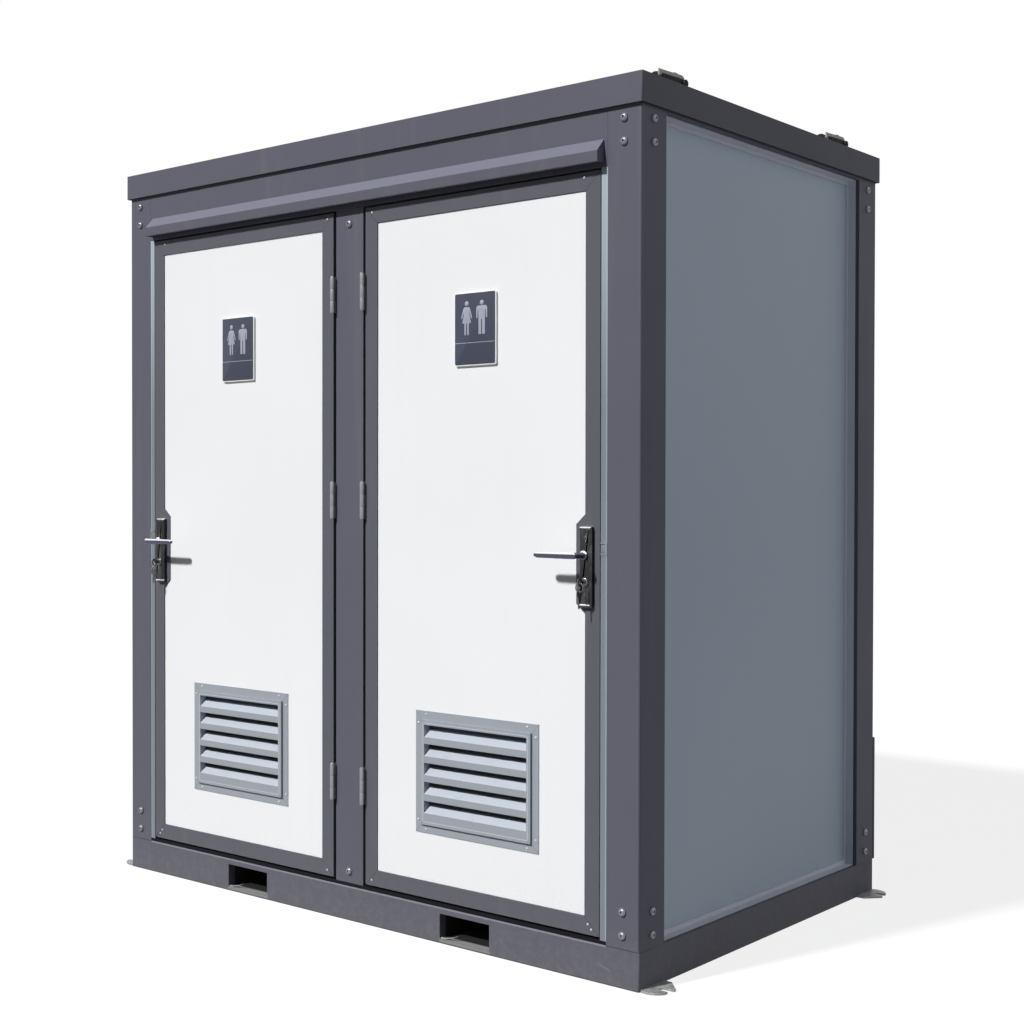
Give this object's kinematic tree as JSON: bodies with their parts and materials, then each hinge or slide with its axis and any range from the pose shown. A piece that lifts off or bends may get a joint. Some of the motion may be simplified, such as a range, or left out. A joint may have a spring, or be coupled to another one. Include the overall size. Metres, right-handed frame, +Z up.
{
  "type": "portable toilet cabin",
  "caption": "Twin-stall toilet cabin: bolted steel frame on a base with fork pockets, sandwich walls, louvred doors hinged on a centre post, rain visor and roof lifting eyes.",
  "frame": {"origin": "centre of the base's underside, on the ground", "axes": "+Z up; the doors face -Y; +X to the right of someone facing the doors"},
  "size_m": [2.232, 1.4675, 2.4072],
  "materials": {
    "frame_paint": "satin powder coat, slate grey",
    "wall_sheet": "smooth coated sheet on a foam core, light blue-grey",
    "white_sheet": "smooth coated sheet on a foam core, white",
    "bead": "coated, light grey",
    "door_bars": "satin powder coat, slate grey",
    "galvanised": "galvanised",
    "bolt_steel": "zinc plated",
    "jamb_metal": "anodised",
    "sill_metal": "anodised",
    "louvre_metal": "anodised",
    "plate_metal": "gunmetal",
    "lever_metal": "satin anodised",
    "key_metal": "nickel plated",
    "floor_board": "phenolic film",
    "ceramic": "glazed",
    "white_plastic": "gloss",
    "chrome_fitting": "polished",
    "pipe_plastic": "matt grey",
    "lens": "opal",
    "forged": "dark oxide"
  },
  "bodies": {
    "cabin": {"base_beam_front": "frame_paint", "base_beam_rear": "frame_paint", "base_members": "frame_paint", "fork_tubes": "galvanised", "anchor_lugs": "galvanised", "floor_panel": "floor_board", "door_sill": "sill_metal", "corner_post_front_right": "frame_paint", "corner_post_front_left": "frame_paint", "corner_posts_rear": "frame_paint", "centre_post": "door_bars", "header_rail": "frame_paint", "top_rails": "frame_paint", "frame_bolts": "bolt_steel", "roof_cap": "frame_paint", "ceiling_panel": "white_sheet", "rain_visor": "frame_paint", "jamb_strips": "jamb_metal", "side_wall_panels": "wall_sheet", "rear_wall_panel": "wall_sheet", "wall_beads": "bead", "partition_wall": "white_sheet", "rear_service_cover": "frame_paint", "service_pipes": "pipe_plastic", "frame_hinges": "bolt_steel", "lifting_brackets": "galvanised", "lifting_eyes": "forged", "toilet_bowls": "ceramic", "cisterns": "white_plastic", "wash_basins": "ceramic", "taps": "chrome_fitting", "ceiling_lights": "lens"},
    "door_right": {"door_frame_right": "door_bars", "door_panel_right": "white_sheet", "door_louvre_right": "louvre_metal", "door_hinge_leaves_right": "bolt_steel", "lock_plates_right": "plate_metal"},
    "lever_right": {"lever_set_right": "lever_metal"},
    "latch_right": {"latch_bolt_right": "bolt_steel"},
    "bolt_right": {"deadbolt_right": "bolt_steel"},
    "plug_right": {"key_plug_right": "key_metal"},
    "keys_right": {"key_ring_right": "key_metal"},
    "seat_right": {"toilet_seat_right": "white_plastic"},
    "lid_right": {"toilet_lid_right": "white_plastic"},
    "button_right": {"flush_button_right": "chrome_fitting"},
    "cap_right": {"tap_cap_right": "chrome_fitting"},
    "door_left": {"door_frame_left": "door_bars", "door_panel_left": "white_sheet", "door_louvre_left": "louvre_metal", "door_hinge_leaves_left": "bolt_steel", "lock_plates_left": "plate_metal"},
    "lever_left": {"lever_set_left": "lever_metal"},
    "latch_left": {"latch_bolt_left": "bolt_steel"},
    "bolt_left": {"deadbolt_left": "bolt_steel"},
    "plug_left": {"key_plug_left": "key_metal"},
    "keys_left": {"key_ring_left": "key_metal"},
    "seat_left": {"toilet_seat_left": "white_plastic"},
    "lid_left": {"toilet_lid_left": "white_plastic"},
    "button_left": {"flush_button_left": "chrome_fitting"},
    "cap_left": {"tap_cap_left": "chrome_fitting"}
  },
  "joints": [
    {"name": "door_right_swing", "type": "hinge", "parent": "cabin", "child": "door_right", "pos_m": [0.0625, -0.668, 1.255], "axis": [0, 0, -1], "range_deg": [0, 90]},
    {"name": "lever_right_turn", "type": "hinge", "parent": "door_right", "child": "lever_right", "pos_m": [0.883, -0.659, 1.116], "axis": [0, -1, 0], "range_deg": [0, 40], "stiffness_Nm_per_rad": 1.2, "springref_deg": -34.38},
    {"name": "latch_right_slide", "type": "slide", "parent": "door_right", "child": "latch_right", "axis": [-1, 0, 0], "range_m": [0, 0.012]},
    {"name": "key_right_turn", "type": "hinge", "parent": "door_right", "child": "plug_right", "pos_m": [0.883, -0.659, 1.046], "axis": [0, -1, 0], "range_deg": [0, 90]},
    {"name": "bolt_right_slide", "type": "slide", "parent": "door_right", "child": "bolt_right", "axis": [1, 0, 0], "range_m": [0, 0.018]},
    {"name": "keys_right_hang", "type": "hinge", "parent": "plug_right", "child": "keys_right", "pos_m": [0.883, -0.6965, 1.046], "axis": [1, 0, 0], "range_deg": [-60, 12]},
    {"name": "seat_right_lift", "type": "hinge", "parent": "cabin", "child": "seat_right", "pos_m": [0.491, 0.3347, 0.5123], "axis": [-1, 0, 0], "range_deg": [0, 90]},
    {"name": "lid_right_close", "type": "hinge", "parent": "cabin", "child": "lid_right", "pos_m": [0.491, 0.3347, 0.5123], "axis": [-1, 0, 0], "range_deg": [-98, 0]},
    {"name": "flush_right_push", "type": "slide", "parent": "cabin", "child": "button_right", "axis": [0, 0, -1], "range_m": [0, 0.004], "stiffness_N_per_m": 400, "springref_m": -0.003},
    {"name": "tap_right_push", "type": "slide", "parent": "cabin", "child": "cap_right", "axis": [0, 0, -1], "range_m": [0, 0.006], "stiffness_N_per_m": 600, "springref_m": -0.004},
    {"name": "door_left_swing", "type": "hinge", "parent": "cabin", "child": "door_left", "pos_m": [-0.0625, -0.668, 1.255], "axis": [0, 0, 1], "range_deg": [0, 90]},
    {"name": "lever_left_turn", "type": "hinge", "parent": "door_left", "child": "lever_left", "pos_m": [-0.883, -0.659, 1.116], "axis": [0, 1, 0], "range_deg": [0, 40], "stiffness_Nm_per_rad": 1.2, "springref_deg": -34.38},
    {"name": "latch_left_slide", "type": "slide", "parent": "door_left", "child": "latch_left", "axis": [1, 0, 0], "range_m": [0, 0.012]},
    {"name": "key_left_turn", "type": "hinge", "parent": "door_left", "child": "plug_left", "pos_m": [-0.883, -0.659, 1.046], "axis": [0, 1, 0], "range_deg": [0, 90]},
    {"name": "bolt_left_slide", "type": "slide", "parent": "door_left", "child": "bolt_left", "axis": [-1, 0, 0], "range_m": [0, 0.018]},
    {"name": "keys_left_hang", "type": "hinge", "parent": "plug_left", "child": "keys_left", "pos_m": [-0.883, -0.6965, 1.046], "axis": [1, 0, 0], "range_deg": [-60, 12]},
    {"name": "seat_left_lift", "type": "hinge", "parent": "cabin", "child": "seat_left", "pos_m": [-0.491, 0.3347, 0.5123], "axis": [-1, 0, 0], "range_deg": [0, 90]},
    {"name": "lid_left_close", "type": "hinge", "parent": "cabin", "child": "lid_left", "pos_m": [-0.491, 0.3347, 0.5123], "axis": [-1, 0, 0], "range_deg": [-98, 0]},
    {"name": "flush_left_push", "type": "slide", "parent": "cabin", "child": "button_left", "axis": [0, 0, -1], "range_m": [0, 0.004], "stiffness_N_per_m": 400, "springref_m": -0.003},
    {"name": "tap_left_push", "type": "slide", "parent": "cabin", "child": "cap_left", "axis": [0, 0, -1], "range_m": [0, 0.006], "stiffness_N_per_m": 600, "springref_m": -0.004}
  ],
  "couplings": [
    {"joint": "latch_right_slide", "follows": "lever_right_turn", "m_per_rad": 0.01718},
    {"joint": "bolt_right_slide", "follows": "key_right_turn", "m_per_rad": 0.01145},
    {"joint": "latch_left_slide", "follows": "lever_left_turn", "m_per_rad": 0.01718},
    {"joint": "bolt_left_slide", "follows": "key_left_turn", "m_per_rad": 0.01145}
  ]
}
